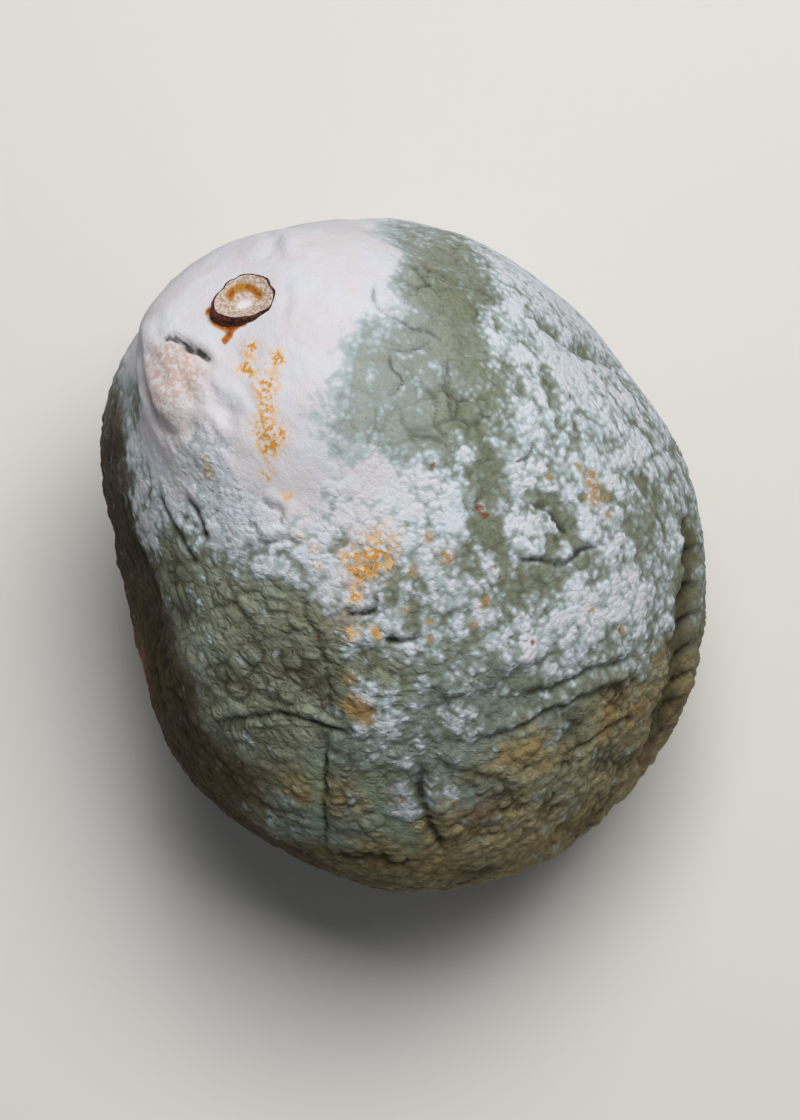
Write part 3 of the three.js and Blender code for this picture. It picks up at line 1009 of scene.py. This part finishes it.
def dry_stem():
    """Cut face of a dead stalk: mottled pale pith, a painted golden crescent and tuft of mould,
    and nearly black bark where it is painted, on the rim and the wall."""
    r = Recipe("dry_stem")
    fibre = r.grain(0.35, 4, 0.65)
    grit = r.grain(0.16, 3)
    blotch = r.grain(1.1, 3)
    pith = r.blend(r.step(fibre, 0.38, 0.62), (220, 204, 194), (168, 146, 130))
    pith = r.blend(r.step(grit, 0.5, 0.75, 0.0, 0.5), pith, (120, 104, 96))
    gold = r.math("MULTIPLY", r.painted("gold"), r.step(blotch, 0.3, 0.6, 0.7, 1.2))
    pith = r.blend(r.step(gold, 0.25, 0.8), pith, (176, 124, 44))
    pith = r.blend(r.step(r.math("MULTIPLY", gold, fibre), 0.42, 0.62, 0.0, 0.8), pith, (128, 60, 22))
    fluff = r.math("ADD", r.painted("tuft"), r.math("MULTIPLY_ADD", fibre, 1.4, -0.7))
    pith = r.blend(r.step(fluff, 0.35, 0.85), pith, (222, 220, 225))
    bark = r.blend(r.step(fibre, 0.38, 0.68), (38, 24, 15), (112, 56, 34))
    edge = r.math("ADD", r.painted("bark"), r.math("MULTIPLY_ADD", fibre, 0.3, -0.15))
    final = r.blend(r.step(edge, 0.42, 0.58), pith, bark)
    r.feed(r.shader.inputs["Base Color"], final)
    r.shader.inputs["Roughness"].default_value = 0.72
    r.shader.inputs["Specular IOR Level"].default_value = 0.35
    r.feed(r.shader.inputs["Normal"], r.bump(r.math("ADD", fibre, grit), 0.12, 0.9))
    return r.material


# ---- The two pieces ----


def make_fruit():
    """The whole fruit: (body radius + relief) times each direction of a rounded cube, tipped up
    and settled on the table. Returns how high its middle is."""
    d, faces = rounded_cube(GRID)
    # The squares are finest on top of the fruit as it lies, so they are turned back by its lean.
    d = tip_up(pull_to_top(d, TOP_PULL), -LEAN)
    relief, ground, colours = grown_skin(d)
    middle = middle_height(d)
    points = settle(tip_up(d * (body_radius(d) + relief)[:, None]) + [0, 0, middle])
    fruit = new_piece("fruit_skin", points, faces.tolist(), mouldy_rind(), "fruit")
    paint(fruit, "ground", ground)
    for name, values in colours.items():
        paint(fruit, name, values)
    return middle


def button_outline(angle):
    """Radius of the rim against angle: an oval with three blunt corners and small nicks."""
    oval = 1 / np.hypot(np.cos(angle), np.sin(angle) / BUTTON_OVAL)
    corners = 0.05 * np.cos(3 * angle) + 0.02 * np.cos(5 * angle + 1.0) + 0.012 * np.cos(9 * angle)
    return BUTTON_WIDTH / 2 * (oval + corners)


def button_section_corners():
    """The button's corners before it is set in its seat, Z along its axis: the section carried
    round the outline and roughened by noise, then the middle of the face and of the foot. Also
    how much bark each corner has, and how many corners a section has."""
    section = np.array(BUTTON_SECTION)
    run = np.linspace(0, len(section) - 1, BUTTON_RINGS + 1)[1:-1]
    reach, drop, bark = (np.interp(run, np.arange(len(section)), section[:, k]) for k in range(3))
    angle = np.linspace(0, 2 * np.pi, BUTTON_TURNS, endpoint=False)
    a, u = np.meshgrid(angle, np.arange(len(run)), indexing="ij")
    flare = 0.08 * smooth(-0.1, 1.0, np.cos(a - 0.6)) * smooth(0.0, 1.5, -drop[u]) * bark[u]
    radius = reach[u] * button_outline(a) * (1 + flare)
    corners = np.stack([radius * np.cos(a), radius * np.sin(a), drop[u]], axis=-1).reshape(-1, 3)
    barky = bark[u].ravel()
    tilt = 0.10 * corners[:, 0] / (BUTTON_WIDTH / 2)
    corners[:, 2] += 0.10 * rough(corners, 0.9, 201, 3) + tilt * (1 - barky)
    uneven = 0.05 * barky * rough(corners * [1, 1, 0.4], 0.6, 203, 3)
    corners[:, :2] *= (1 + uneven)[:, None]
    ends = np.array([[0, 0, section[0, 1]], [0, 0, section[-1, 1]]])
    return np.concatenate([corners, ends]), np.concatenate([barky, [0.0, 1.0]]), len(run)


def button_faces(count):
    """Four-cornered faces between neighbouring sections of a count of corners, and a fan of
    triangles to the middle of the face and of the foot."""
    i = np.arange(BUTTON_TURNS)
    after = (i + 1) % BUTTON_TURNS
    ring = np.arange(count - 1)
    here = (i[:, None] * count + ring).ravel()
    there = (after[:, None] * count + ring).ravel()
    walls = np.column_stack([here, here + 1, there + 1, there])
    top = np.column_stack([i * count, after * count, np.full(len(i), len(i) * count)])
    foot = (top + [count - 1, count - 1, 1])[:, [1, 0, 2]]
    return [*walls.tolist(), *top.tolist(), *foot.tolist()]


def make_button(middle):
    """A dished woody disc, set in its seat on the fruit, whose middle is at a height."""
    corners, bark, count = button_section_corners()
    facing = direction(*BUTTON_FACING)
    away, sideways = tangents(*BUTTON_FACING)
    turn = np.radians(BUTTON_WIDTH_BEARING)
    wide = away * np.cos(turn) + sideways * np.sin(turn)
    narrow = np.cross(facing, wide)
    seat = on_body([BUTTON_SEAT])[0] + facing * BUTTON_STAND
    placed = seat + corners @ np.array([wide, narrow, facing])
    points = tip_up(placed) + [0, 0, middle]

    faces = button_faces(count)
    button = new_piece("stem_button_wood", points, faces, dry_stem(), "stem_button")
    across = np.hypot(corners[:, 0], corners[:, 1]) / (BUTTON_WIDTH / 2)
    angle = np.arctan2(corners[:, 1], corners[:, 0])
    crescent = bell((across - 0.46) / 0.16) * smooth(-0.45, 0.3, np.cos(angle + 2.06))
    tuft = bell(np.hypot((corners[:, 0] - 0.3) / 1.1, (corners[:, 1] - 0.45) / 0.75))
    paint(button, "gold", crescent * (1 - bark))
    paint(button, "tuft", tuft * (1 - bark))
    paint(button, "bark", bark)


# ---- Floor, light and camera ----

VIEW_FROM = (-122.0, 84.0)  # turned about the fruit, and up from level, in degrees
VIEW_DISTANCE = 430.0  # from the fruit's middle
VIEW_LENS = 130.6
NEAREST_SEEN = 10.0  # what is closer to the camera than this is left out
FRAME_SHIFT = (-0.45, -0.85)  # the fruit sits a little right of and above the frame's middle

# The one lamp, a soft square. Its direction is the camera's right, up and back.
LAMP_TOWARD = (0.13, 0.46, 0.88)
LAMP_DISTANCE = 600.0
LAMP_SIZE = 340.0
LAMP_WATTS = 3.7
LAMP_TINT = (1.0, 0.98, 0.96)
SKY_TINT = (0.8, 0.85, 0.9, 1)
SKY_STRENGTH = 0.12
FLOOR_REACH = 1500.0  # from its middle to its edges
FLOOR_COLOUR = (226, 224, 220)


def view_axes():
    """Right, up and back directions of a camera at VIEW_FROM."""
    a, e = np.radians(VIEW_FROM)
    back = np.array([np.sin(a) * np.cos(e), -np.cos(a) * np.cos(e), np.sin(e)])
    right = np.array([np.cos(a), np.sin(a), 0.0])
    return right, np.cross(back, right), back


def set_camera(middle):
    """The camera looks along VIEW_FROM at a point near the fruit's middle."""
    right, up, back = view_axes()
    place = [0, 0, middle] + back * VIEW_DISTANCE + right * FRAME_SHIFT[0] + up * FRAME_SHIFT[1]
    camera = bpy.data.objects.new("camera", bpy.data.cameras.new("camera"))
    camera.data.lens = VIEW_LENS
    camera.data.clip_start = NEAREST_SEEN * MM
    turned = Matrix(np.column_stack([right, up, back]).tolist()).to_4x4()
    camera.matrix_world = Matrix.Translation(Vector((place * MM).tolist())) @ turned
    bpy.context.scene.collection.objects.link(camera)
    bpy.context.scene.camera = camera


def light_up(middle):
    """A soft square lamp nearly overhead, and a dim even sky."""
    way = np.array(view_axes()).T @ np.array(LAMP_TOWARD)
    way /= np.linalg.norm(way)
    lamp = bpy.data.lights.new("key_light", "AREA")
    lamp.size = LAMP_SIZE * MM
    lamp.energy = LAMP_WATTS
    lamp.color = LAMP_TINT
    light = bpy.data.objects.new("key_light", lamp)
    light.location = ((way * LAMP_DISTANCE + [0, 0, middle]) * MM).tolist()
    light.rotation_euler = Vector(way.tolist()).to_track_quat("Z", "Y").to_euler()
    bpy.context.scene.collection.objects.link(light)
    world = bpy.data.worlds.new("studio")
    world.use_nodes = True
    sky = world.node_tree.nodes["Background"]
    sky.inputs["Color"].default_value = SKY_TINT
    sky.inputs["Strength"].default_value = SKY_STRENGTH
    bpy.context.scene.world = world


def lay_floor():
    """A wide plain pale floor at the table's height."""
    half = FLOOR_REACH * MM
    corners = [(-half, -half, 0), (half, -half, 0), (half, half, 0), (-half, half, 0)]
    mesh = bpy.data.meshes.new("floor")
    mesh.from_pydata(corners, [], [(0, 1, 2, 3)])
    material = bpy.data.materials.new("pale_floor")
    material.use_nodes = True
    shader = material.node_tree.nodes["Principled BSDF"]
    shader.inputs["Base Color"].default_value = (*linear(FLOOR_COLOUR), 1)
    shader.inputs["Roughness"].default_value = 0.8
    mesh.materials.append(material)
    floor = bpy.data.objects.new("floor", mesh)
    bpy.context.scene.collection.objects.link(floor)


fruit_middle = make_fruit()
make_button(fruit_middle)
lay_floor()
set_camera(fruit_middle)
light_up(fruit_middle)
bpy.context.scene.view_settings.view_transform = "Standard"
